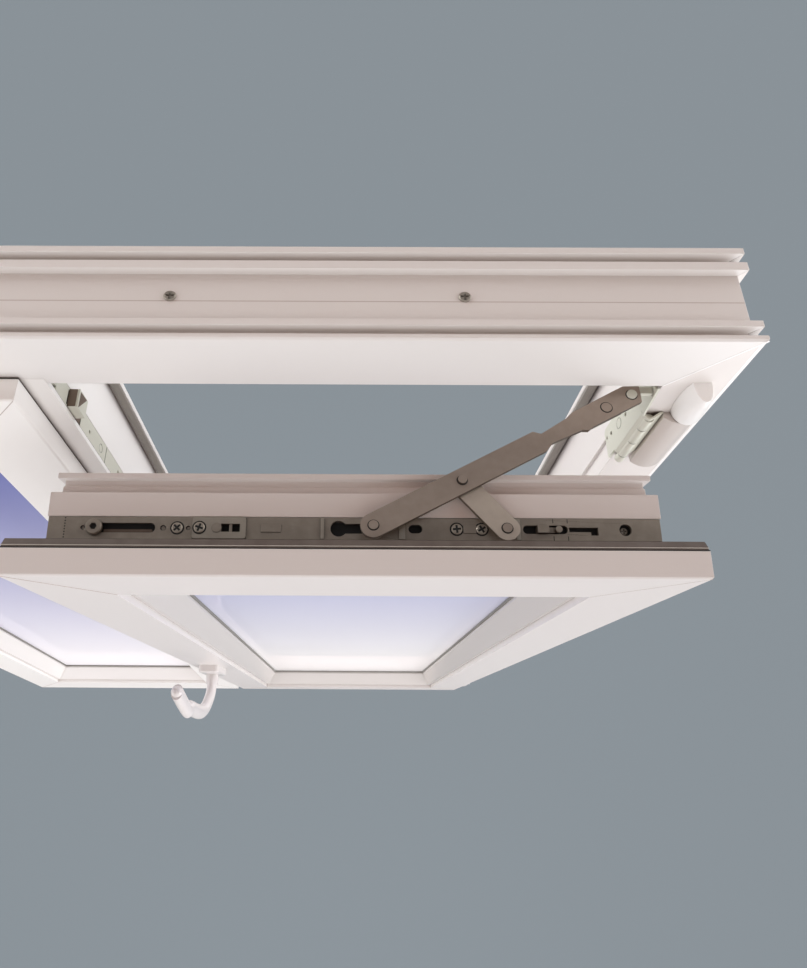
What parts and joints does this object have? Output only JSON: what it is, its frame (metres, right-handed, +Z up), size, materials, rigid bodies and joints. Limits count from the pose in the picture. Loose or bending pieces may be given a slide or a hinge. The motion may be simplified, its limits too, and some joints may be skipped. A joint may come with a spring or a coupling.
{
  "type": "tilt and turn window",
  "caption": "White plastic tilt and turn window with a mullion, one sash closed and the other tilted into the room on its steel stay.",
  "frame": {"origin": "middle of the sill's flat underside", "axes": "+Z up, -Y towards the room, +X to the right seen from the room"},
  "size_m": [0.997, 0.2564, 1.166],
  "materials": {
    "frame_pvc": "smooth white extruded window PVC",
    "sash_pvc": "smooth white extruded window PVC",
    "bead_pvc": "smooth white glazing bead",
    "seal_rubber": "dark grey brown weather seal",
    "glass": "clear float glass with a cool sky reflection",
    "spacer_bar": "matt spacer bar",
    "handle_white": "white powder coated",
    "stay_steel": "dull grey brown plated steel",
    "keep_steel": "light zinc plated, faint green tint",
    "gear_steel": "warm grey matt plated steel"
  },
  "bodies": {
    "root": {"bottom_hinge_cap": "handle_white", "bottom_hinge_cover": "handle_white", "frame_head": "frame_pvc", "frame_left_jamb": "frame_pvc", "frame_right_jamb": "frame_pvc", "frame_sill": "frame_pvc", "handle_lever": "handle_white", "handle_rosette": "handle_white", "left_faceplate": "gear_steel", "left_flange_seal": "seal_rubber", "left_glazing_beads": "bead_pvc", "left_glazing_seal": "seal_rubber", "left_inner_pane": "glass", "left_outer_pane": "glass", "left_pane_spacer": "spacer_bar", "left_sash_bottom_rail": "sash_pvc", "left_sash_left_stile": "sash_pvc", "left_sash_right_stile": "sash_pvc", "left_sash_top_rail": "sash_pvc", "left_weather_seal": "seal_rubber", "locking_cams": "gear_steel", "mullion": "frame_pvc", "mullion_keeps": "keep_steel", "right_faceplate": "gear_steel", "right_flange_seal": "seal_rubber", "right_glazing_beads": "bead_pvc", "right_glazing_seal": "seal_rubber", "right_inner_pane": "glass", "right_outer_pane": "glass", "right_pane_spacer": "spacer_bar", "right_sash_bottom_rail": "sash_pvc", "right_sash_left_stile": "sash_pvc", "right_sash_right_stile": "sash_pvc", "right_sash_top_rail": "sash_pvc", "right_weather_seal": "seal_rubber", "stay_arm": "stay_steel", "stay_band": "stay_steel", "stay_faceplate": "gear_steel", "stay_link": "stay_steel", "stay_rivets": "stay_steel", "top_hinge_cap": "handle_white", "top_hinge_cover": "handle_white", "top_hinge_knuckles": "keep_steel", "top_hinge_leaf": "keep_steel"}
  },
  "joints": []
}
